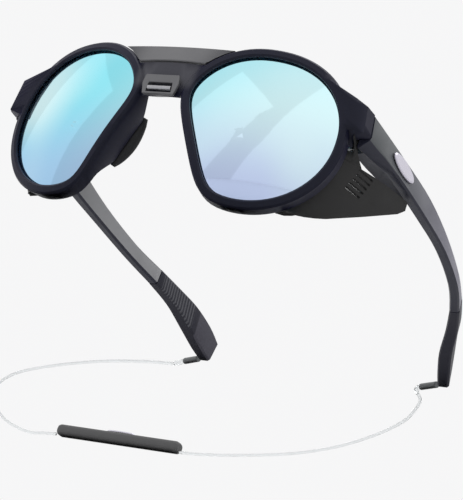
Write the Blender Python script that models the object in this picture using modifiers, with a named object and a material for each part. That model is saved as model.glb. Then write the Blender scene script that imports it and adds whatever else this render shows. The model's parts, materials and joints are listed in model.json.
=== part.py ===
"""Glacier glasses standing open on a table: round wrapped rims, side shields, folding temples, safety leash."""
import bpy
import bmesh
from math import cos, hypot, pi, radians, sin, sqrt
from mathutils import Matrix, Vector
from mathutils.geometry import interpolate_bezier

mm = 0.001
gap = 0.3  # clearance left between touching pieces, mm

# Attitude: sizes below are millimetres in the worn frame, X to the wearer's left, Y to the back, Z up,
# from the point midway between the lens centres. The whole is tipped onto rim bottoms and temple tips.
restTilt = 5.76
restLift = 25.58
restBack = -69.03

# Lenses
lensCentreX = 36.5
lensWrap = 15.1
lensTilt = 7.9
lensRadius = 106.0
lensHalfWidth = 26.7
lensHalfHeight = 25.05
lensMiddle = (-0.4, 2.45)
cutDirection = (-0.8825, -0.4702)  # lower nasal corner is cut straight
cutDistance = 20.05
lensThick = 2.0
lensTuck = 0.8  # how far the lens edge goes into the rim

# Rims
rimWidth = 3.2
rimFront = 1.4
rimBack = 4.0
nasalDepth = 5.0  # extra depth of the wall that carries the nose pad
nasalFlare = 0.3
nasalSpan = (160, 180, 218, 240)  # rise and fall of that wall round the outline, degrees

# Brow plate, half of it: low corner, top corner, and how far its middle stands forward of them
browLow = (12.7, -5.55, 21.8)
browTop = (22.1, -3.95, 27.9)
browBulge = 1.05
browThick = 1.1

# Temples: station, inner bottom x z, bottom width, outer top x z, top width
templeStations = (
    (15.2, 66.2, 9.3, 3.6, 68.2, 18.3, 3.2),
    (40.0, 67.3, 7.9, 4.4, 69.2, 17.6, 3.2),
    (60.0, 67.7, 7.2, 4.2, 70.6, 15.9, 3.0),
    (80.0, 67.3, 6.6, 3.8, 70.0, 13.1, 3.0),
    (100.0, 64.6, 4.8, 3.8, 67.2, 10.4, 3.0),
    (114.0, 60.2, 2.6, 4.0, 63.4, 8.8, 3.2),
)
# inner low corner dips inward and down from rootEnd towards the hinge
rootEnd = 36.0
rootIn = 0.6
rootDrop = 4.0
# thick root behind the hinge: station, inner x, underside z
rootStations = ((21.4, 61.5, 7.0), (30.0, 61.9, 7.4), (38.0, 63.0, 7.7), (46.0, 65.5, 7.8), (52.0, 67.9, 8.2))
rootOuter = 69.0
rootTop = 13.5
sockStations = (
    (114.3, 60.1, 2.5, 4.1, 63.4, 8.8, 3.4),
    (124.0, 55.6, -0.4, 4.8, 60.0, 6.7, 4.2),
    (132.0, 51.5, -5.2, 5.2, 56.2, 4.2, 4.6),
    (140.0, 49.0, -9.2, 5.0, 53.0, 0.6, 4.6),
    (145.4, 47.6, -11.1, 4.6, 51.0, -3.0, 4.4),
)

# Side shields: turns round the rim for the low corner, the top edge and the tongue, then the free edge
shieldTurns = (-62, -3, 3)
shieldGrow = 1.6
shieldBack = 1.5
shieldBulge = 1.6
shieldThick = 1.2
shieldRear = ((50.0, 12.9, -21.4), (54.0, 20.3, -18.3), (57.5, 24.1, -16.1), (64.0, 35.2, -7.8), (69.0, 47.9, 1.7),
              (70.0, 50.1, 5.0), (69.8, 48.6, 6.6))
shieldTip = (65.6, 10.9, 7.3)
tongueOut = 4.9  # how far outside the lens outline the tongue passes the rim

# Hinges, upright in the table frame
hingeX = 62.6
hingeY = 18.8
hingeRadius = 1.7
hingeHole = 0.85
knuckleHeights = ((30.0, 32.2), (32.5, 36.0), (36.3, 39.0))

# Leash, table frame
cordRadius = 0.6
plugRadius = 1.2
plugLength = 9.0
bootRadius = 0.9
barLength = 60.0
barWidth = 6.0
barHeight = 5.0

palette = {
    "frame": ((0.012, 0.013, 0.030), 0.38, 0.0),
    "plate": ((0.120, 0.120, 0.130), 0.42, 0.6),
    "lens": ((0.450, 0.780, 0.880), 0.06, 0.9),
    "rubber": ((0.020, 0.020, 0.022), 0.75, 0.0),
    "shield": ((0.034, 0.034, 0.036), 0.70, 0.0),
    "temple": ((0.060, 0.060, 0.085), 0.45, 0.2),
    "steel": ((0.350, 0.350, 0.370), 0.30, 1.0),
    "badge": ((0.520, 0.500, 0.580), 0.28, 0.9),
    "dark": ((0.060, 0.062, 0.065), 0.35, 0.6),
    "cord": ((0.780, 0.800, 0.820), 0.20, 0.0),
    "bar": ((0.075, 0.075, 0.078), 0.55, 0.0),
}

restTurn = Matrix.Rotation(radians(-restTilt), 3, "X")
sides = {"left": 1, "right": -1}


def clearScene():
    for thing in list(bpy.data.objects):
        bpy.data.objects.remove(thing, do_unlink=True)


def newCollection(name):
    made = bpy.data.collections.new(name)
    bpy.context.scene.collection.children.link(made)
    return made


def worn(x, y, z):
    """Worn-frame millimetres to world metres."""
    turned = restTurn @ Vector((x, y, z))
    return (turned + Vector((0, restBack, restLift))) * mm


def table(x, y, z):
    """Table-frame millimetres, Y from the lens centres, to world metres."""
    return Vector((x, y + restBack, z)) * mm


def lensAxes():
    wrap, tilt = radians(lensWrap), radians(lensTilt)
    across = Vector((cos(wrap), sin(wrap), 0))
    ahead = Vector((sin(wrap), -cos(wrap), 0))
    up = Vector((0, 0, 1))
    return across, up * cos(tilt) + ahead * sin(tilt), ahead * cos(tilt) - up * sin(tilt)


acrossLens, upLens, outLens = lensAxes()


def onLens(side, u, v, w):
    """A point u across, v up and w in front of the curved lens surface, in world metres."""
    sag = lensRadius - sqrt(lensRadius ** 2 - u * u - v * v)
    spot = Vector((lensCentreX, 0, 0)) + acrossLens * u + upLens * v + outLens * (w - sag)
    return worn(side * spot.x, spot.y, spot.z)


def lensEdge(angle):
    """Visible lens outline: an ellipse, squarer at the top, cut straight at the lower nasal corner."""
    c, s = cos(angle), sin(angle)
    power = 2.2 if s > 0 else 2.0
    round_ = (abs(c / lensHalfWidth) ** power + abs(s / lensHalfHeight) ** power) ** (-1 / power)
    toward = c * cutDirection[0] + s * cutDirection[1]
    flat = cutDistance / toward if toward > 0.05 else 1000.0
    reach = (round_ ** -14 + flat ** -14) ** (-1 / 14)
    return lensMiddle[0] + reach * c, lensMiddle[1] + reach * s


def rimPoint(angle, grow):
    """The outline moved outward by grow, square to itself."""
    u, v = lensEdge(angle)
    u0, v0 = lensEdge(angle - 0.02)
    u1, v1 = lensEdge(angle + 0.02)
    length = hypot(u1 - u0, v1 - v0)
    return u + grow * (v1 - v0) / length, v - grow * (u1 - u0) / length


def material(look):
    if look in bpy.data.materials:
        return bpy.data.materials[look]
    colour, rough, metal = palette[look]
    made = bpy.data.materials.new(look)
    made.use_nodes = True
    shader = made.node_tree.nodes["Principled BSDF"]
    shader.inputs["Base Color"].default_value = (*colour, 1)
    shader.inputs["Roughness"].default_value = rough
    shader.inputs["Metallic"].default_value = metal
    return made


def finish(name, bm, look, origin=None, group=None):
    """Turns a bmesh in world metres into an object whose origin sits on origin."""
    bmesh.ops.recalc_face_normals(bm, faces=bm.faces)
    origin = origin or Vector((0, 0, 0))
    bmesh.ops.translate(bm, verts=bm.verts, vec=-origin)
    mesh = bpy.data.meshes.new(name)
    bm.to_mesh(mesh)
    bm.free()
    made = bpy.data.objects.new(name, mesh)
    made.location = origin
    made.data.materials.append(material(look))
    (group or parts).objects.link(made)
    return made


def addLoft(bm, rings, closed=False):
    """Quads between rings of points; the ends are capped, or joined when closed."""
    layers = [[bm.verts.new(point) for point in ring] for ring in rings]
    count = len(layers[0])
    pairs = list(zip(layers, layers[1:]))
    if closed:
        pairs.append((layers[-1], layers[0]))
    for low, high in pairs:
        for i in range(count):
            j = (i + 1) % count
            bm.faces.new((low[i], low[j], high[j], high[i]))
    if not closed:
        bm.faces.new(layers[0])
        bm.faces.new(layers[-1])
    return bm


def loft(name, rings, look, origin=None, closed=False, group=None):
    return finish(name, addLoft(bmesh.new(), rings, closed), look, origin, group)


def addBevel(item, width, segments=2, angle=30):
    bevel = item.modifiers.new("soft edges", "BEVEL")
    bevel.width = width * mm
    bevel.segments = segments
    bevel.limit_method = "ANGLE"
    bevel.angle_limit = radians(angle)
    return bevel


def combine(item, other, how):
    """Boolean with a cutter or filler kept in its own collection."""
    other.hide_render = True
    other.display_type = "WIRE"
    step = item.modifiers.new(how.lower(), "BOOLEAN")
    step.object = other
    step.operation = how
    step.solver = "EXACT"


def rod(name, start, end, radius, look, origin=None, group=None, sections=24, endRadius=None):
    """A round bar between two world points; radii in millimetres."""
    bm = bmesh.new()
    along = end - start
    turn = along.to_track_quat("Z", "Y").to_matrix().to_4x4()
    place = Matrix.Translation((start + end) / 2) @ turn
    last = radius if endRadius is None else endRadius
    bmesh.ops.create_cone(bm, cap_ends=True, segments=sections, radius1=radius * mm, radius2=last * mm,
                          depth=along.length, matrix=place)
    return finish(name, bm, look, origin, group)


def tube(name, points, radius, look, resolution=4, origin=None, group=None):
    """A wire through world points."""
    origin = origin or Vector((0, 0, 0))
    curve = bpy.data.curves.new(name, "CURVE")
    curve.dimensions = "3D"
    curve.bevel_depth = radius * mm
    curve.bevel_resolution = resolution
    curve.use_fill_caps = True
    line = curve.splines.new("POLY")
    line.points.add(len(points) - 1)
    for spot, point in zip(line.points, points):
        spot.co = (*(point - origin), 1)
    made = bpy.data.objects.new(name, curve)
    made.location = origin
    made.data.materials.append(material(look))
    (group or parts).objects.link(made)
    return made


def restFlat(item):
    """Trims what reaches below the table to a flat."""
    bm = bmesh.new()
    bmesh.ops.create_cube(bm, size=1, matrix=Matrix.Translation(table(0, 60, -5)) @ Matrix.Diagonal(
        (0.2, 0.3, 0.01, 1)))
    combine(item, finish("rest trim", bm, "frame", group=cutters), "DIFFERENCE")


def hingeSpot(side):
    return table(side * hingeX, hingeY, 0)


# --- front -----------------------------------------------------------------------------------------

def smoothStep(low, high, value):
    t = min(max((value - low) / (high - low), 0.0), 1.0)
    return t * t * (3 - 2 * t)


def wallDepth(angle):
    """Extra depth of the rim wall at this angle, greatest beside the nose."""
    turn = angle * 180 / pi
    return nasalDepth * smoothStep(*nasalSpan[:2], turn) * (1 - smoothStep(*nasalSpan[2:], turn))


def rimRings(side, steps=96):
    """Cross-sections of one rim: a lip over the lens and a wall behind it."""
    lip = lensTuck + gap
    rings = []
    for i in range(steps):
        angle = 2 * pi * i / steps
        deep = wallDepth(angle)
        lean = nasalFlare * deep
        section = ((0, 0.1), (0.1, 0.8), (0.8, rimFront), (rimWidth - 0.6, rimFront), (rimWidth, rimFront - 0.6),
                   (rimWidth, -1.0), (rimWidth - lean, 0.6 - rimBack - deep), (rimWidth - 0.5 - lean, -rimBack - deep),
                   (lip - lean, -rimBack - deep), (lip, -rimBack + 0.8), (lip, 0.1))
        rings.append([onLens(side, *rimPoint(angle, grow), w) for grow, w in section])
    return rings


def bridgeRings():
    """Bridge between the rims, lofted across the nose; arched underside, ledge for the brow plate."""
    rings = []
    half = ((0.0, 8.8), (4.0, 8.6), (7.0, 8.6), (10.0, 12.8), (13.2, 19.5))
    for x, low in [(-x, low) for x, low in half[:0:-1]] + list(half):
        bulge = browBulge * (1 - (x / 13.2) ** 2)
        rings.append([worn(x, y, z) for y, z in (
            (-3.7 - bulge, low), (-5.0 - bulge, 21.0), (-3.9 - bulge, 21.6), (-2.2 - bulge, 26.9),
            (0.8, 26.2), (1.6, 21.0), (0.9, low + 3.2))])
    return rings


def endBlockRings(side):
    """End piece: from the upper temporal rim back to the temple."""
    steps = 6
    angles = [radians(50 - 34 * i / steps) for i in range(steps + 1)]
    front = [onLens(side, *rimPoint(a, 1.6), rimFront - 0.1) for a in angles]
    back = [onLens(side, *rimPoint(a, 1.6), 0.2 - rimBack) for a in reversed(angles)]
    rings = [front + back]
    for topFront, lowFront, lowBack, topBack in (
            ((65.0, 6.2, 18.8), (67.3, 8.0, 8.2), (62.9, 13.2, 8.2), (61.2, 11.6, 18.8)),
            ((67.4, 10.4, 18.4), (68.9, 11.0, 8.9), (61.6, 14.4, 8.0), (61.0, 13.4, 18.4)),
            ((68.1, 14.8, 18.2), (69.5, 14.8, 9.3), (61.2, 14.8, 8.0), (61.0, 14.8, 18.2))):
        ring = [Vector(topFront).lerp(Vector(lowFront), i / steps) for i in range(steps + 1)]
        ring += [Vector(lowBack).lerp(Vector(topBack), i / steps) for i in range(steps + 1)]
        rings.append([worn(side * p.x, p.y, p.z) for p in ring])
    return rings


def hingeCarrierRings(side):
    """Lug under the end piece that the lower knuckle grows from."""
    return [[worn(side * x, y, z) for x, y in ((62.4, 12.9), (63.6, 12.7), (64.2, 14.6), (62.2, 14.6))]
            for z in (5.4, 9.0)]


def buildFront():
    front = loft("front_frame", rimRings(1), "frame", closed=True)
    pieces = [loft("rim filler", rimRings(-1), "frame", closed=True, group=cutters)]
    pieces.append(loft("bridge filler", bridgeRings(), "frame", group=cutters))
    for side in sides.values():
        pieces.append(loft("end filler", endBlockRings(side), "frame", group=cutters))
        pieces.append(loft("carrier filler", hingeCarrierRings(side), "frame", group=cutters))
    for piece in pieces:
        combine(front, piece, "UNION")
    restFlat(front)


def buildLens(name, side, steps=72):
    """Curved lens: rings shrinking to the middle on both faces."""
    rings = []
    scales = (0.18, 0.4, 0.6, 0.78, 0.92, 1.0)
    faces = [(scale, -gap) for scale in scales] + [(scale, -gap - lensThick) for scale in reversed(scales)]
    for scale, w in faces:
        ring = []
        for i in range(steps):
            u, v = rimPoint(2 * pi * i / steps, lensTuck)
            ring.append(onLens(side, u * scale, v * scale, w))
        rings.append(ring)
    loft(name, rings, "lens")


def buildBrowPlate():
    """Satin plate over the bridge: a trapezoid, wide at the top, with slanted ends."""
    rings = []
    for k in range(-6, 7):
        part = k / 6
        bulge = browBulge * (1 - part * part)
        (lowX, lowY, lowZ), (topX, topY, topZ) = browLow, browTop
        low, high = lowY - bulge, topY - bulge
        rings.append([worn(lowX * part, low + 0.3, lowZ - 0.3), worn(lowX * part, low, lowZ),
                      worn(topX * part, high, topZ), worn(topX * part, high + browThick, topZ + 0.2),
                      worn(lowX * part, low + browThick, lowZ)])
    plate = loft("brow_plate", rings, "plate")
    for side in sides.values():
        outline = []
        for i in range(64):
            u, v = rimPoint(2 * pi * i / 64, rimWidth + gap)
            outline.append((u, v))
        clearance = loft("rim clearance", [[onLens(side, u, v, w) for u, v in outline] for w in (4.5, -9.0)], "plate",
                         group=cutters)
        combine(plate, clearance, "DIFFERENCE")


def buildNoseClip():
    """Clip on the lower bridge with a wide slot and a round cross bar."""
    half = ((6.0, 8.2), (7.0, 12.2), (6.4, 15.2))
    outline = list(half) + [(-x, z) for x, z in reversed(half)]

    def layer(push):
        return [worn(x, -4.6 - 0.11 * (z - 8.0) - push, z) for x, z in outline]
    clip = loft("nose_clip", [layer(0.9), layer(2.3)], "plate")
    hole = ((-4.9, 9.0), (4.9, 9.0), (4.6, 12.4), (-4.6, 12.4))
    slot = loft("clip slot", [[worn(x, y, z) for x, z in hole] for y in (-12, -3)], "dark", group=cutters)
    combine(clip, slot, "DIFFERENCE")
    addBevel(clip, 0.25, 1)
    rod("clip_bar", worn(-4.5, -6.6, 10.6), worn(4.5, -6.6, 10.6), 0.8, "steel", sections=16)


def buildNosePad(name, side, steps=10):
    """Soft pad: a crescent of oval sections along the back of the nasal wall."""
    rings = []
    for i in range(steps + 1):
        share = i / steps
        size = sin(pi * (0.04 + 0.92 * share)) ** 0.6
        u0, v0 = rimPoint(radians(175 + 50 * share), 0)
        u1, v1 = rimPoint(radians(175 + 50 * share), 1)
        deep, thick = 0.5 + 3.9 * size, 0.3 + 1.5 * size
        ring = []
        for k in range(20):
            angle = 2 * pi * k / 20
            grow = 0.4 + thick * sin(angle)
            w = -rimBack - nasalDepth - gap - deep / 2 - deep / 2 * cos(angle)
            ring.append(onLens(side, u0 + (u1 - u0) * grow, v0 + (v1 - v0) * grow, w))
        rings.append(ring)
    loft(name, rings, "rubber")


# --- hinges ----------------------------------------------------------------------------------------

def knuckle(name, side, heights, leaf, look, origin=None):
    """A knuckle round the axis with a leaf reaching to leaf; the bore clears the screw."""
    low, high = heights
    base = rod(name, table(side * hingeX, hingeY, low), table(side * hingeX, hingeY, high), hingeRadius,
               look, origin)
    (x0, y0), (x1, y1) = leaf
    rings = [[table(side * x, y, z) for x, y in ((x0, y0), (x1, y0), (x1, y1), (x0, y1))] for z in (low, high)]
    combine(base, loft("leaf filler", rings, look, group=cutters), "UNION")
    bore = rod("hinge bore", table(side * hingeX, hingeY, low - 1), table(side * hingeX, hingeY, high + 1),
               hingeHole, look, group=cutters, sections=20)
    combine(base, bore, "DIFFERENCE")
    return base


def buildHinge(label, side):
    (low0, low1), middle, (top0, top1) = knuckleHeights
    for word, heights in (("lower", (low0, low1)), ("upper", (top0, top1))):
        knuckle(f"hinge_knuckle_{word}_{label}", side, heights, ((60.9, 16.9), (62.4, 18.8)), "steel")
    knuckle(f"temple_hinge_{label}", side, middle, ((62.6, 18.9), (64.6, 21.1)), "steel", hingeSpot(side))
    screw = rod(f"hinge_screw_{label}", table(side * hingeX, hingeY, low0 - 0.4),
                table(side * hingeX, hingeY, top1 + 0.3), hingeHole - 0.3, "steel", sections=16)
    head = rod("screw head filler", table(side * hingeX, hingeY, top1 + gap), table(side * hingeX, hingeY, top1 + 1.2),
               1.5, "steel", group=cutters, sections=16)
    combine(screw, head, "UNION")


# --- side shields ----------------------------------------------------------------------------------

def evenly(points, count):
    """Points at even spacing along a polyline."""
    runs = [0.0]
    for p, q in zip(points, points[1:]):
        runs.append(runs[-1] + (q - p).length)
    made, at = [], 0
    for k in range(count):
        want = runs[-1] * k / (count - 1)
        while at < len(runs) - 2 and runs[at + 1] < want:
            at += 1
        share = (want - runs[at]) / max(runs[at + 1] - runs[at], 1e-9)
        made.append(points[at].lerp(points[at + 1], share))
    return made


def buildShield(label, side, rows=14, across=12, tongue=3, tongueRows=4, vents=5):
    """Rubber sheet from behind the lower temporal rim back under the temple, with a tongue up the end piece."""
    rear = evenly([Vector(p) for p in shieldRear], rows + 1)
    inverse = restTurn.inverted()

    def atRim(turn, grow=shieldGrow):
        spot = onLens(1, *rimPoint(radians(turn), grow), -rimBack - shieldBack) / mm
        return inverse @ (spot - Vector((0, restBack, restLift)))

    def bulge(share):
        return Vector((4 * shieldBulge * share * (1 - share), 0, 0))
    lines = []
    for i, back in enumerate(rear):
        start = atRim(shieldTurns[0] + (shieldTurns[1] - shieldTurns[0]) * i / rows)
        lines.append([start.lerp(back, j / across) + bulge(j / across) for j in range(across + 1)])
    edge = lines[-1][tongue]
    beside = lines[-1][1]
    for i in range(1, tongueRows + 1):
        share = i / tongueRows
        turn = shieldTurns[1] + (shieldTurns[2] - shieldTurns[1]) * share
        middle = beside.lerp(atRim(turn, tongueOut), share)
        back = edge.lerp(Vector(shieldTip), share)
        lines.append([atRim(turn, shieldGrow + share), middle, middle.lerp(back, 0.5), back])
    bm = bmesh.new()
    grid = [[bm.verts.new(worn(side * p.x, p.y, p.z)) for p in line] for line in lines]
    for row, above in zip(grid, grid[1:]):
        for j in range(min(len(row), len(above)) - 1):
            bm.faces.new((row[j], row[j + 1], above[j + 1], above[j]))
    sheet = finish(f"side_shield_{label}", bm, "shield")
    if sum(face.normal.x for face in sheet.data.polygons) * side < 0:
        sheet.data.flip_normals()
    shell = sheet.modifiers.new("thickness", "SOLIDIFY")
    shell.thickness = shieldThick * mm
    shell.offset = -1
    for k in range(vents):
        middle = worn(side * 65.4, 25.6 + 0.3 * k, -4.6 + 1.8 * k)
        bm = bmesh.new()
        bmesh.ops.create_cube(bm, size=1, matrix=Matrix.Translation(middle) @ restTurn.to_4x4() @ Matrix.Diagonal(
            (14 * mm, 6.6 * mm, 0.7 * mm, 1)))
        combine(sheet, finish("vent cutter", bm, "shield", group=cutters), "DIFFERENCE")
    return sheet


# --- temples ---------------------------------------------------------------------------------------

def templeRing(side, station, chamfer=0.7):
    """Eight-cornered section: four measured corners, each cut by a chamfer."""
    y, x, z, wide, topX, topZ, topWide = station
    root = max(0.0, (rootEnd - y) / (rootEnd - templeStations[0][0]))
    corners = [Vector((x - rootIn * root, z - rootDrop * root)), Vector((x + wide, z)), Vector((topX, topZ)),
               Vector((topX - topWide, topZ))]
    ring = []
    for i, corner in enumerate(corners):
        before, after = corners[i - 1], corners[(i + 1) % 4]
        for other in (before, after):
            spot = corner + (other - corner).normalized() * chamfer
            ring.append(worn(side * spot.x, y, spot.y))
    return ring


def rootRings(side, slope=2.0, chamfer=1.0):
    """Thick root that the hinge leaf meets, narrowing back into the temple."""
    rings = []
    for y, x, z in rootStations:
        section = ((x, z), (rootOuter, z + slope), (rootOuter, rootTop), (x + chamfer, rootTop),
                   (x, rootTop - chamfer))
        rings.append([worn(side * across, y, rise) for across, rise in section])
    return rings


def buildTemple(label, side):
    pivot = hingeSpot(side)
    temple = loft(f"temple_{label}", [templeRing(side, s) for s in smoothStations(templeStations, 4)], "temple", pivot)
    combine(temple, loft("root filler", rootRings(side), "temple", group=cutters), "UNION")
    sock = loft(f"ear_sock_{label}", [templeRing(side, s) for s in smoothStations(sockStations, 4)], "rubber", pivot)
    restFlat(sock)


def smoothStations(stations, steps):
    """Catmull-Rom stations between the given ones."""
    rows = []
    for i in range(len(stations) - 1):
        a = stations[max(i - 1, 0)]
        b, c = stations[i], stations[i + 1]
        d = stations[min(i + 2, len(stations) - 1)]
        for k in range(steps):
            t = k / steps
            rows.append([0.5 * (2 * q + (r - p) * t + (2 * p - 5 * q + 4 * r - s) * t * t
                                + (3 * q - p - 3 * r + s) * t ** 3) for p, q, r, s in zip(a, b, c, d)])
    rows.append(list(stations[-1]))
    return rows


def onTemple(side, y, rise):
    """Point and directions on the temple's outer face at station y, rise from 0 at the bottom to 1."""
    rows = smoothStations(templeStations, 8)
    row = min(rows, key=lambda r: abs(r[0] - y))
    low, high = Vector((row[1] + row[3], row[0], row[2])), Vector((row[4], row[0], row[5]))
    spot = low.lerp(high, rise)
    return spot, (high - low).normalized()


def buildBadge(label, side):
    """Plain oval badge on the outer face."""
    (front, up), (back, _) = onTemple(side, 30.0, 0.5), onTemple(side, 46.0, 0.5)
    along = (back - front).normalized()
    out = along.cross(up).normalized()
    out = out if out.x > 0 else -out
    middle = (front + back) / 2
    rings = []
    for lift, grow in ((gap, 1.0), (gap + 0.5, 1.0), (gap + 0.8, 0.9)):
        rings.append([worn(side * p.x, p.y, p.z) for p in (
            middle + along * (7.6 * grow * cos(a)) + up * (2.9 * grow * sin(a)) + out * lift
            for a in (2 * pi * i / 32 for i in range(32)))])
    loft(f"badge_{label}", rings, "badge", hingeSpot(side))


# --- leash -----------------------------------------------------------------------------------------

def smoothRoute(points, count):
    """Evenly spaced points on a Catmull-Rom curve through the route."""
    dense = []
    for i in range(len(points) - 1):
        a, b, c = points[max(i - 1, 0)], points[i], points[i + 1]
        d = points[min(i + 2, len(points) - 1)]
        for k in range(24):
            t = k / 24
            dense.append(0.5 * ((2 * b) + (c - a) * t + (2 * a - 5 * b + 4 * c - d) * t * t
                                + (3 * b - a - 3 * c + d) * t ** 3))
    return evenly(dense + [points[-1]], count)


plugAim = Vector((-0.894, 0.447, 0))
plugBase = {"left": Vector((46.6, 144.8, plugRadius + 0.02)), "right": Vector((-53.7, 145.4, plugRadius + 0.02))}
bootAim = {"left": Vector((-0.2, 0.98, 0)), "right": Vector((-0.97, 0.24, 0))}
bootTurn = {"left": Vector((34.9, 153.4, 0.95)), "right": Vector((-67.2, 152.0, 0.95))}
cordHeight = cordRadius + 0.05
leftRoute = ((34.8, 153.8), (33.0, 161.0), (26.0, 172.0), (14.0, 187.0), (-8.0, 207.0), (-34.0, 226.0),
             (-62.0, 241.0), (-92.0, 251.5), (-112.0, 256.5), (-123.0, 257.6))
rightRoute = ((-67.6, 152.1), (-82.0, 153.4), (-105.0, 158.5), (-135.0, 170.0), (-163.0, 185.0), (-186.0, 206.0),
              (-200.0, 230.0), (-204.6, 247.0), (-200.0, 256.5), (-190.8, 255.4), (-184.0, 254.6))
barStart = Vector((-183.2, 254.8, 0))
barEnd = Vector((-123.6, 257.6, 0))


def buildPlug(label, side):
    """Leash end plugged into the temple tip, with its flexible boot."""
    pivot = hingeSpot(side)
    base = plugBase[label]
    tip = base + plugAim * plugLength
    rod(f"leash_plug_{label}", table(*base), table(*tip), plugRadius, "dark", pivot)
    start = tip + plugAim * gap
    turn = bootTurn[label]
    path = interpolate_bezier(start, start + plugAim * 2.2, turn - bootAim[label] * 2.2, turn, 9)
    tube(f"leash_boot_{label}", [table(*p) for p in path], bootRadius, "cord", 2, pivot)


def buildLeash():
    for word, route, count in (("left", leftRoute, 34), ("right", rightRoute, 38)):
        points = [table(x, y, cordHeight) for x, y in route]
        tube(f"leash_cord_{word}", smoothRoute(points, count), cordRadius, "cord", 2)
    along = (barEnd - barStart).normalized()
    across = along.cross(Vector((0, 0, 1)))
    rings = []
    for run, share in ((0.0, 0.62), (0.6, 0.86), (1.6, 1.0), (barLength - 1.6, 1.0), (barLength - 0.6, 0.86),
                       (barLength, 0.62)):
        ring = []
        for i in range(24):
            angle = 2 * pi * i / 24
            side, rise = cos(angle), sin(angle)
            side = abs(side) ** 0.7 * (1 if side > 0 else -1) * barWidth / 2 * share
            rise = abs(rise) ** 0.7 * (1 if rise > 0 else -1) * barHeight / 2 * share
            p = barStart + along * run + across * side
            ring.append(table(p.x, p.y, barHeight / 2 + 0.02 + rise))
        rings.append(ring)
    loft("leash_bar", rings, "bar")
    rings = []
    for lift, grow in ((gap, 1.0), (gap + 0.5, 0.9)):
        ring = []
        for i in range(24):
            angle = 2 * pi * i / 24
            p = barStart + along * (barLength / 2 + 7.0 * grow * cos(angle)) + across * (1.1 * grow * sin(angle))
            ring.append(table(p.x, p.y, barHeight + 0.02 + lift))
        rings.append(ring)
    loft("leash_bar_inlay", rings, "badge")


clearScene()
parts = newCollection("glacier_glasses")
cutters = newCollection("cutters")
buildFront()
buildBrowPlate()
buildNoseClip()
for label, side in sides.items():
    buildLens(f"lens_{label}", side)
    buildNosePad(f"nose_pad_{label}", side)
    buildHinge(label, side)
    buildShield(label, side)
    buildTemple(label, side)
    buildBadge(label, side)
    buildPlug(label, side)
buildLeash()
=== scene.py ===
import json
import bmesh
import bpy
from math import cos, pi, radians, sin
from mathutils import Matrix, Vector


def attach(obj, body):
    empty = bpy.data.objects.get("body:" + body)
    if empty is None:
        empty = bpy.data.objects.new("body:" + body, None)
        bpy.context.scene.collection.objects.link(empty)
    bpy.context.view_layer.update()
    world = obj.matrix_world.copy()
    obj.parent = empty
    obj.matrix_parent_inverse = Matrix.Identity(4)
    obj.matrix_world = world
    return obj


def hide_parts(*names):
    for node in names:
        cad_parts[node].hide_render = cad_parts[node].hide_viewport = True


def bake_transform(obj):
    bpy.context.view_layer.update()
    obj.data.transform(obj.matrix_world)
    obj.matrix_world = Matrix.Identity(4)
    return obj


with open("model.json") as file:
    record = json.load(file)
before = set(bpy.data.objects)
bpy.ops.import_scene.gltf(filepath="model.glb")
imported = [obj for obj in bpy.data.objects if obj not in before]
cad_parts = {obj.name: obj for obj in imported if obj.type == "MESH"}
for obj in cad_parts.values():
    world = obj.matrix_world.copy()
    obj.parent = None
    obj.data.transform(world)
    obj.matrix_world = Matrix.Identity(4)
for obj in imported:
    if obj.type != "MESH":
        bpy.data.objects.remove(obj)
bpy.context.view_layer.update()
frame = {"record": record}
mm = 0.001
sides = ("left", "right")


# camera

cameraFacts = {
    "azimuth": 33.52,  # degrees, 0 looks along +Y
    "elevation": -19.59,  # from just under the table
    "roll": 17.47,
    "distance": 0.924,
    "lens": 201.8,
    "aim": (0.017, -0.03113, 0.0004),
}


def addCamera(facts):
    azimuth, elevation = radians(facts["azimuth"]), radians(facts["elevation"])
    back = Vector((sin(azimuth) * cos(elevation), -cos(azimuth) * cos(elevation), sin(elevation)))
    camera = bpy.data.objects.new("camera", bpy.data.cameras.new("camera"))
    camera.data.lens = facts["lens"]
    camera.data.clip_start = 0.01
    camera.location = Vector(facts["aim"]) + back * facts["distance"]
    turn = (-back).to_track_quat("-Z", "Y").to_matrix() @ Matrix.Rotation(radians(facts["roll"]), 3, "Z")
    camera.rotation_euler = turn.to_euler()
    bpy.context.scene.collection.objects.link(camera)
    bpy.context.scene.camera = camera


addCamera(cameraFacts)


# node helpers

def newMaterial(name, colour, roughness, metallic=0.0):
    made = bpy.data.materials.new(name)
    made.use_nodes = True
    nodes, links = made.node_tree.nodes, made.node_tree.links
    shader = nodes["Principled BSDF"]
    shader.inputs["Base Color"].default_value = (*colour, 1)
    shader.inputs["Roughness"].default_value = roughness
    shader.inputs["Metallic"].default_value = metallic
    return made, nodes, links, shader


def addNode(nodes, kind, inputs=None, **settings):
    node = nodes.new(kind)
    for key, value in settings.items():
        setattr(node, key, value)
    for key, value in (inputs or {}).items():
        node.inputs[key].default_value = value
    return node


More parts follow.
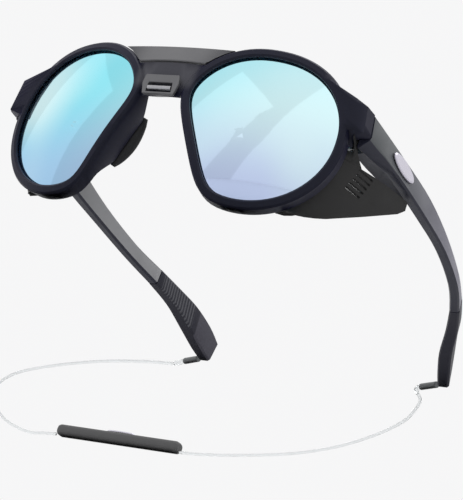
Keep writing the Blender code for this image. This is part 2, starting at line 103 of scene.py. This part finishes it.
def makeGrainGroup():
    group = bpy.data.node_groups.new("mouldedGrain", "ShaderNodeTree")
    for name, value in (("Scale", 2200.0), ("Depth", 0.1), ("Low", 0.35), ("High", 0.5)):
        socket = group.interface.new_socket(name, in_out="INPUT", socket_type="NodeSocketFloat")
        socket.default_value = value
    for name, kind in (("Normal", "Vector"), ("Roughness", "Float"), ("Mask", "Float")):
        group.interface.new_socket(name, in_out="OUTPUT", socket_type="NodeSocket" + kind)
    nodes, links = group.nodes, group.links
    start = nodes.new("NodeGroupInput")
    end = nodes.new("NodeGroupOutput")
    place = nodes.new("ShaderNodeTexCoord")
    fine = addNode(nodes, "ShaderNodeTexNoise", {"Detail": 3.0, "Roughness": 0.6})
    broad = addNode(nodes, "ShaderNodeTexNoise", {"Scale": 90.0, "Detail": 4.0})
    bump = addNode(nodes, "ShaderNodeBump", {"Distance": 0.00005})
    span = addNode(nodes, "ShaderNodeMapRange", {"From Min": 0.3, "From Max": 0.7})
    links.new(place.outputs["Object"], fine.inputs["Vector"])
    links.new(place.outputs["Object"], broad.inputs["Vector"])
    links.new(start.outputs["Scale"], fine.inputs["Scale"])
    links.new(fine.outputs["Fac"], bump.inputs["Height"])
    links.new(start.outputs["Depth"], bump.inputs["Strength"])
    links.new(broad.outputs["Fac"], span.inputs["Value"])
    links.new(start.outputs["Low"], span.inputs["To Min"])
    links.new(start.outputs["High"], span.inputs["To Max"])
    links.new(bump.outputs["Normal"], end.inputs["Normal"])
    links.new(span.outputs["Result"], end.inputs["Roughness"])
    links.new(broad.outputs["Fac"], end.inputs["Mask"])
    return group


grainGroup = makeGrainGroup()


def addGrain(nodes, links, shader, scale, depth, low, high):
    grain = nodes.new("ShaderNodeGroup")
    grain.node_tree = grainGroup
    for name, value in (("Scale", scale), ("Depth", depth), ("Low", low), ("High", high)):
        grain.inputs[name].default_value = value
    links.new(grain.outputs["Normal"], shader.inputs["Normal"])
    links.new(grain.outputs["Roughness"], shader.inputs["Roughness"])
    return grain


def addMix(nodes, links, mask, first, second):
    mix = addNode(nodes, "ShaderNodeMix", data_type="RGBA")
    mix.inputs[6].default_value = (*first, 1)
    mix.inputs[7].default_value = (*second, 1)
    links.new(mask, mix.inputs[0])
    return mix


def addPlace(nodes, links):
    place = nodes.new("ShaderNodeTexCoord")
    spot = nodes.new("ShaderNodeSeparateXYZ")
    turn = nodes.new("ShaderNodeSeparateXYZ")
    links.new(place.outputs["Object"], spot.inputs["Vector"])
    links.new(place.outputs["Normal"], turn.inputs["Vector"])
    return place, spot, turn


def addStep(nodes, links, value, low, high):
    span = {"From Min": low, "From Max": high}
    step = addNode(nodes, "ShaderNodeMapRange", span, interpolation_type="SMOOTHSTEP")
    links.new(value, step.inputs["Value"])
    return step.outputs["Result"]


def addMath(nodes, links, how, first, second=None):
    node = addNode(nodes, "ShaderNodeMath", operation=how)
    for i, value in enumerate((first, second)):
        if value is None:
            continue
        if isinstance(value, (int, float)):
            node.inputs[i].default_value = value
        else:
            links.new(value, node.inputs[i])
    return node.outputs[0]


# materials

frameLook = {
    "bridgeReflectionHalf": (0.0125, 0.0095),  # painted reflection: the bridge is lighter and fades into the darker rims between these
    "bridgeReflectionRise": (0.036, 0.040),
    "specular": 0.17,
}


def makeFrameMaterial():
    made, nodes, links, shader = newMaterial("frameNavy", (0.010, 0.012, 0.030), 0.40)
    addGrain(nodes, links, shader, 2600, 0.12, 0.34, 0.48)
    _, spot, _ = addPlace(nodes, links)
    # painted sheen: the navy body turns violet where the surface is seen at a grazing angle
    edge = addNode(nodes, "ShaderNodeLayerWeight", {"Blend": 0.30})
    body = addMix(nodes, links, edge.outputs["Facing"], (0.006, 0.007, 0.016), (0.016, 0.015, 0.040))
    # painted reflection lightens the upper middle of the frame, the bridge, over the same navy plastic
    across = addMath(nodes, links, "ABSOLUTE", spot.outputs["X"])
    middle = addStep(nodes, links, across, *frameLook["bridgeReflectionHalf"])
    upper = addStep(nodes, links, spot.outputs["Z"], *frameLook["bridgeReflectionRise"])
    bridgeReflection = addMath(nodes, links, "MULTIPLY", middle, upper)
    mix = addMix(nodes, links, bridgeReflection, (0, 0, 0), (0.052, 0.052, 0.064))
    links.new(body.outputs[2], mix.inputs[6])
    links.new(mix.outputs[2], shader.inputs["Base Color"])
    shader.inputs["Specular IOR Level"].default_value = frameLook["specular"]
    return made


def makePlateMaterial():
    made, nodes, links, shader = newMaterial("plateSatin", (0.14, 0.14, 0.15), 0.42, 0.6)
    grain = addGrain(nodes, links, shader, 3600, 0.10, 0.40, 0.52)
    mix = addMix(nodes, links, grain.outputs["Mask"], (0.120, 0.120, 0.128), (0.175, 0.175, 0.182))
    _, spot, _ = addPlace(nodes, links)
    across = addMath(nodes, links, "ABSOLUTE", spot.outputs["X"])
    ends = addStep(nodes, links, across, 0.009, 0.021)  # darker towards the slanted ends
    dim = addMix(nodes, links, ends, (0, 0, 0), (0.075, 0.075, 0.082))
    links.new(mix.outputs[2], dim.inputs[6])
    links.new(dim.outputs[2], shader.inputs["Base Color"])
    return made


lensLook = {
    "upper": ((0.66, 0.87, 0.90), (0.27, 0.75, 0.85)),  # face on, then oblique
    "lower": ((0.55, 0.64, 0.88), (0.38, 0.62, 0.86)),
    "rise": (0.006, 0.040),  # heights between which lower turns to upper
    "haze": (0.70, 0.90, 0.92),
}


def makeLensMaterial():
    made, nodes, links, shader = newMaterial("lensMirror", (0.55, 0.83, 0.92), 0.05, 1.0)
    place, spot, _ = addPlace(nodes, links)
    facing = addNode(nodes, "ShaderNodeLayerWeight", {"Blend": 0.5})
    oblique = addStep(nodes, links, facing.outputs["Facing"], 0.06, 0.42)
    upper = addMix(nodes, links, oblique, *lensLook["upper"])
    lower = addMix(nodes, links, oblique, *lensLook["lower"])
    rise = addStep(nodes, links, spot.outputs["Z"], *lensLook["rise"])
    body = addMix(nodes, links, rise, (0, 0, 0), (0, 0, 0))
    links.new(lower.outputs[2], body.inputs[6])
    links.new(upper.outputs[2], body.inputs[7])
    drift = addNode(nodes, "ShaderNodeTexNoise", {"Scale": 24.0, "Detail": 1.0})
    links.new(place.outputs["Object"], drift.inputs["Vector"])
    haze = addStep(nodes, links, drift.outputs["Fac"], 0.45, 0.9)
    cloud = addMix(nodes, links, haze, (0, 0, 0), lensLook["haze"])
    links.new(body.outputs[2], cloud.inputs[6])
    links.new(cloud.outputs[2], shader.inputs["Base Color"])
    fine = addNode(nodes, "ShaderNodeTexNoise", {"Scale": 60.0, "Detail": 2.0})
    rough = addNode(nodes, "ShaderNodeMapRange", {"To Min": 0.03, "To Max": 0.07})
    links.new(place.outputs["Object"], fine.inputs["Vector"])
    links.new(fine.outputs["Fac"], rough.inputs["Value"])
    links.new(rough.outputs["Result"], shader.inputs["Roughness"])
    return made


def makeRubberMaterial(name, dark, light, scale, depth, low, high):
    made, nodes, links, shader = newMaterial(name, dark, low)
    grain = addGrain(nodes, links, shader, scale, depth, low, high)
    mix = addMix(nodes, links, grain.outputs["Mask"], dark, light)
    links.new(mix.outputs[2], shader.inputs["Base Color"])
    shader.inputs["Specular IOR Level"].default_value = 0.3
    return made


templeLook = {
    "outward": (0.028, 0.044),  # X times the normal's X, positive on the outer face
    "along": (-0.05, 0.03),  # front tone to rear tone
    "outer": ((0.075, 0.082, 0.088), (0.135, 0.130, 0.170)),
    # the inner face's pale tone, lightening towards the rear, is painted reflection
    "inner": ((0.080, 0.080, 0.085), (0.240, 0.240, 0.250)),
    "edge": (0.013, 0.014, 0.027),
}


def makeTempleMaterial():
    made, nodes, links, shader = newMaterial("templeSatin", (0.08, 0.08, 0.11), 0.40)
    addGrain(nodes, links, shader, 2600, 0.10, 0.36, 0.50)
    _, spot, turn = addPlace(nodes, links)
    outward = addMath(nodes, links, "MULTIPLY", spot.outputs["X"], turn.outputs["X"])
    level = addStep(nodes, links, addMath(nodes, links, "ABSOLUTE", turn.outputs["Z"]), 0.52, 0.40)
    low, high = templeLook["outward"]
    outer = addMath(nodes, links, "MULTIPLY", addStep(nodes, links, outward, low, high), level)
    inner = addMath(nodes, links, "MULTIPLY", addStep(nodes, links, outward, -low, -high), level)
    along = addStep(nodes, links, spot.outputs["Y"], *templeLook["along"])
    faceTone = addMix(nodes, links, along, *templeLook["outer"])
    # painted reflection on the inner face of the temple
    innerReflectionTone = addMix(nodes, links, along, *templeLook["inner"])
    first = addMix(nodes, links, outer, templeLook["edge"], (0, 0, 0))
    links.new(faceTone.outputs[2], first.inputs[7])
    second = addMix(nodes, links, inner, (0, 0, 0), (0, 0, 0))
    links.new(first.outputs[2], second.inputs[6])
    links.new(innerReflectionTone.outputs[2], second.inputs[7])
    links.new(second.outputs[2], shader.inputs["Base Color"])
    shader.inputs["Specular IOR Level"].default_value = 0.35
    return made


gripLook = {
    "ribStart": (0.0470, 0.0474),  # Y from the front; ribs on the inner face only
    "ribStop": (0.0622, 0.0618),
    "panelStart": (0.0640, 0.0646),
    "ribScale": 290.0,
    "body": (0.012, 0.012, 0.022),
    "panel": (0.050, 0.048, 0.064),
    "ribs": (0.085, 0.085, 0.098),
}


def makeGripMaterial():
    made, nodes, links, shader = newMaterial("gripRubber", (0.02, 0.02, 0.03), 0.55)
    place, spot, turn = addPlace(nodes, links)
    outward = addMath(nodes, links, "MULTIPLY", spot.outputs["X"], turn.outputs["X"])
    inner = addStep(nodes, links, outward, -0.018, -0.030)
    start = addStep(nodes, links, spot.outputs["Y"], *gripLook["ribStart"])
    stop = addStep(nodes, links, spot.outputs["Y"], *gripLook["ribStop"])
    stretch = addMath(nodes, links, "MULTIPLY", start, stop)
    ribs = addMath(nodes, links, "MULTIPLY", stretch, inner)
    wave = addNode(nodes, "ShaderNodeTexWave", {"Scale": gripLook["ribScale"]}, bands_direction="Y")
    links.new(place.outputs["Object"], wave.inputs["Vector"])
    relief = addMath(nodes, links, "MULTIPLY", wave.outputs["Fac"], ribs)
    tip = addStep(nodes, links, spot.outputs["Y"], *gripLook["panelStart"])
    panel = addMath(nodes, links, "MULTIPLY", tip, inner)
    body = addMix(nodes, links, panel, gripLook["body"], gripLook["panel"])
    mix = addMix(nodes, links, relief, (0, 0, 0), gripLook["ribs"])
    links.new(body.outputs[2], mix.inputs[6])
    links.new(mix.outputs[2], shader.inputs["Base Color"])
    bump = addNode(nodes, "ShaderNodeBump", {"Strength": 0.9, "Distance": 0.0003})
    links.new(relief, bump.inputs["Height"])
    links.new(bump.outputs["Normal"], shader.inputs["Normal"])
    shader.inputs["Specular IOR Level"].default_value = 0.35
    return made


def makeMetalMaterial(name, colour, stretch, low, high):
    made, nodes, links, shader = newMaterial(name, colour, low, 1.0)
    place = nodes.new("ShaderNodeTexCoord")
    scale = addNode(nodes, "ShaderNodeMapping")
    scale.inputs["Scale"].default_value = stretch
    streak = addNode(nodes, "ShaderNodeTexNoise", {"Scale": 1.0, "Detail": 4.0})
    span = addNode(nodes, "ShaderNodeMapRange",
                   {"From Min": 0.3, "From Max": 0.7, "To Min": low, "To Max": high})
    bump = addNode(nodes, "ShaderNodeBump", {"Strength": 0.12, "Distance": 0.00003})
    links.new(place.outputs["Object"], scale.inputs["Vector"])
    links.new(scale.outputs["Vector"], streak.inputs["Vector"])
    links.new(streak.outputs["Fac"], span.inputs["Value"])
    links.new(streak.outputs["Fac"], bump.inputs["Height"])
    links.new(span.outputs["Result"], shader.inputs["Roughness"])
    links.new(bump.outputs["Normal"], shader.inputs["Normal"])
    return made


def makeCordMaterial():
    made, nodes, links, shader = newMaterial("cordClear", (0.93, 0.95, 0.96), 0.12)
    addGrain(nodes, links, shader, 1500, 0.05, 0.08, 0.18)
    shader.inputs["Transmission Weight"].default_value = 0.92
    shader.inputs["IOR"].default_value = 1.35
    return made


padTones = ((0.012, 0.012, 0.013), (0.020, 0.020, 0.022))
shieldTones = ((0.019, 0.019, 0.0195), (0.027, 0.0265, 0.0265))
barTones = ((0.070, 0.070, 0.071), (0.090, 0.090, 0.092))
materials = {
    "frame": makeFrameMaterial(),
    "plate": makePlateMaterial(),
    "lens": makeLensMaterial(),
    "rubber": makeRubberMaterial("padRubber", *padTones, 1800, 0.2, 0.60, 0.75),
    "shield": makeRubberMaterial("shieldRubber", *shieldTones, 1500, 0.3, 0.62, 0.8),
    "temple": makeTempleMaterial(),
    "grip": makeGripMaterial(),
    "steel": makeMetalMaterial("steelBrushed", (0.42, 0.42, 0.44), (900, 900, 4000), 0.25, 0.42),
    "badge": makeMetalMaterial("badgeSatin", (0.62, 0.60, 0.68), (3000, 400, 3000), 0.22, 0.36),
    "dark": makeMetalMaterial("plugDark", (0.13, 0.135, 0.14), (2500, 2500, 2500), 0.26, 0.42),
    "cord": makeCordMaterial(),
    "bar": makeRubberMaterial("barRubber", *barTones, 1400, 0.3, 0.5, 0.66),
}
print("materials made")


# pieces

nodeSlots = {part["node"]: part["material_slot"] for part in frame["record"]["subparts"]}
bodyOf = {node: body for body, nodes in frame["record"]["behaviour"]["bodies"].items() for node in nodes}


def addPiece(name, mesh, body, slot, look=None):
    made = bpy.data.objects.new(name, mesh)
    made.data.materials.clear()
    made.data.materials.append(materials[look or slot])
    bpy.context.scene.collection.objects.link(made)
    return made


def refine(node, bevel=0.0, segments=2, angle=32, look=None):  # bevel in millimetres, angle in degrees
    bm = bmesh.new()
    bm.from_mesh(bpy.data.objects[node].data)
    bmesh.ops.remove_doubles(bm, verts=bm.verts, dist=0.000002)
    bmesh.ops.dissolve_limit(bm, angle_limit=radians(0.6), verts=bm.verts, edges=bm.edges)
    mesh = bpy.data.meshes.new(node + "Fine")
    bm.to_mesh(mesh)
    bm.free()
    mesh.shade_smooth()
    mesh.set_sharp_from_angle(angle=radians(angle))
    made = addPiece(node + "Fine", mesh, bodyOf[node], nodeSlots[node], look)
    if bevel:
        soft = made.modifiers.new("softEdges", "BEVEL")
        soft.width = bevel * mm
        soft.segments = segments
        soft.limit_method = "ANGLE"
        soft.angle_limit = radians(angle)
        soft.harden_normals = True
    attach(made, bodyOf[node])
    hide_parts(node)
    return made


# leash

leashFacts = {
    "diameter": 0.0012,  # metres
    "steps": 8,  # points between two corners of a route
    "height": 0.65,  # millimetres from here down
    "back": -69.03,  # from the lens centres to the origin
    "left": ((34.8, 153.8), (33.0, 161.0), (26.0, 172.0), (14.0, 187.0), (-8.0, 207.0), (-34.0, 226.0),
             (-62.0, 241.0), (-92.0, 251.5), (-112.0, 256.5), (-123.0, 257.6)),
    "right": ((-67.6, 152.1), (-82.0, 153.4), (-105.0, 158.5), (-135.0, 170.0), (-163.0, 185.0),
              (-186.0, 206.0), (-200.0, 230.0), (-204.6, 247.0), (-200.0, 256.5), (-190.8, 255.4),
              (-184.0, 254.6)),
}


def smoothRoute(points, steps):
    route = []
    for i in range(len(points) - 1):
        a, b, c = points[max(i - 1, 0)], points[i], points[i + 1]
        d = points[min(i + 2, len(points) - 1)]
        for k in range(steps):
            t = k / steps
            route.append(0.5 * ((2 * b) + (c - a) * t + (2 * a - 5 * b + 4 * c - d) * t * t
                                + (3 * b - a - 3 * c + d) * t ** 3))
    return route + [points[-1]]


def tubeMesh(name, points, radius, around=10):
    bm = bmesh.new()
    rings = []
    for i, point in enumerate(points):
        along = (points[min(i + 1, len(points) - 1)] - points[max(i - 1, 0)]).normalized()
        over = Vector((0, 0, 1))
        across = along.cross(over).normalized()
        over = across.cross(along)
        rings.append([bm.verts.new(point + (across * cos(a) + over * sin(a)) * radius)
                      for a in (2 * pi * k / around for k in range(around))])
    for low, high in zip(rings, rings[1:]):
        for k in range(around):
            bm.faces.new((low[k], low[(k + 1) % around], high[(k + 1) % around], high[k]))
    bm.faces.new(rings[0])
    bm.faces.new(rings[-1])
    bmesh.ops.recalc_face_normals(bm, faces=bm.faces)
    mesh = bpy.data.meshes.new(name)
    bm.to_mesh(mesh)
    bm.free()
    mesh.shade_smooth()
    return mesh


def addLeashCord(side):
    back, height = leashFacts["back"], leashFacts["height"]
    points = [Vector((x * mm, (y + back) * mm, height * mm)) for x, y in leashFacts[side]]
    path = smoothRoute(points, leashFacts["steps"])
    name = "leashCord" + side.capitalize()
    cord = addPiece(name, tubeMesh(name, path, leashFacts["diameter"] / 2), "front", "cord")
    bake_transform(cord)
    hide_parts("leash_cord_" + side)


for node in ("leash_bar", "leash_bar_inlay"):
    bpy.data.objects[node].material_slots[0].material = materials[nodeSlots[node]]
leashPieces = {side: [refine("leash_boot_" + side, angle=60), refine("leash_plug_" + side, 0.2, 3)]
               for side in sides}
addLeashCord("left")
addLeashCord("right")


# refined CAD pieces

refine("front_frame", angle=38)
for node in ("brow_plate", "nose_clip"):
    refine(node, 0.2)
refine("clip_bar", 0.1)
for side in sides:
    refine("lens_" + side, angle=50)
    refine("nose_pad_" + side, angle=80)
    for node in ("hinge_knuckle_lower_", "hinge_knuckle_upper_", "temple_hinge_"):
        refine(node + side, 0.15, look="dark")
    refine("hinge_screw_" + side, 0.15)
    refine("side_shield_" + side, 0.15, angle=40)
    refine("temple_" + side, 0.25, angle=35)
    refine("ear_sock_" + side, 0.25, angle=35, look="grip")
    refine("badge_" + side, 0.12)
print("pieces made")


# stage

floorFacts = {
    "colour": (0.62, 0.62, 0.625),
    "half": 4,
    "drop": 0.0002,
}


def addFloor():
    made, nodes, links, shader = newMaterial("floorPale", floorFacts["colour"], 0.5)
    clear = nodes.new("ShaderNodeBsdfTransparent")
    under = nodes.new("ShaderNodeNewGeometry")  # seen from below the floor is clear
    mix = nodes.new("ShaderNodeMixShader")
    links.new(under.outputs["Backfacing"], mix.inputs[0])
    links.new(shader.outputs[0], mix.inputs[1])
    links.new(clear.outputs[0], mix.inputs[2])
    links.new(mix.outputs[0], nodes["Material Output"].inputs["Surface"])
    bm = bmesh.new()
    bmesh.ops.create_grid(bm, x_segments=1, y_segments=1, size=floorFacts["half"])
    mesh = bpy.data.meshes.new("floor")
    bm.to_mesh(mesh)
    bm.free()
    mesh.materials.append(made)
    floor = bpy.data.objects.new("floor", mesh)
    floor.location.z = -floorFacts["drop"]
    bpy.context.scene.collection.objects.link(floor)


def addPanel(name, place, aim, size, radiance, roll=0, mirrored=True):
    light = bpy.data.lights.new(name, "AREA")
    light.shape = "RECTANGLE"
    light.size, light.size_y = size
    light.energy = radiance * pi * size[0] * size[1]
    made = bpy.data.objects.new(name, light)
    made.location = place
    turn = (Vector(aim) - Vector(place)).to_track_quat("-Z", "Y").to_matrix()
    made.rotation_euler = (turn @ Matrix.Rotation(radians(roll), 3, "Z")).to_euler()
    made.visible_glossy = mirrored  # keys light the parts without showing in the lenses
    bpy.context.scene.collection.objects.link(made)


backdropTone = (0.925, 0.925, 0.93)


def addWorld():
    world = bpy.data.worlds.new("studio")
    bpy.context.scene.world = world
    world.use_nodes = True
    nodes, links = world.node_tree.nodes, world.node_tree.links
    shade = nodes["Background"]
    place = nodes.new("ShaderNodeTexCoord")
    split = nodes.new("ShaderNodeSeparateXYZ")
    rise = addNode(nodes, "ShaderNodeMapRange",
                   {"From Min": -0.6, "From Max": 0.7, "To Min": 0.55, "To Max": 1.0})
    path = nodes.new("ShaderNodeLightPath")
    pick = addNode(nodes, "ShaderNodeMix", data_type="RGBA")
    pick.inputs[7].default_value = (*backdropTone, 1)
    links.new(place.outputs["Generated"], split.inputs["Vector"])
    links.new(split.outputs["Z"], rise.inputs["Value"])
    links.new(rise.outputs["Result"], pick.inputs[6])
    links.new(path.outputs["Is Camera Ray"], pick.inputs[0])
    links.new(pick.outputs[2], shade.inputs["Color"])


panelAim = (0, 0, 0.03)
bandRadiance = 0.14  # pale bands in the lenses
keyRadiance = 0.80
topRadiance = 1.5
bpy.context.scene.view_settings.view_transform = "Standard"
addFloor()
addWorld()
for name, place, size, roll in (("panelLeft", (-0.55, -1.5, 0.45), (0.62, 1.3), -28),
                                ("panelRight", (0.45, -1.5, 0.45), (0.75, 1.5), -28),
                                ("panelSide", (-1.6, -0.55, 0.45), (0.8, 1.3), -24)):
    addPanel(name, place, panelAim, size, bandRadiance, roll)
    addPanel(name + "Key", place, panelAim, size, keyRadiance, roll, mirrored=False)
addPanel("panelTop", (0.2, 0.2, 1.4), (0, 0, 0), (1.4, 1.4), topRadiance)
print("stage made")
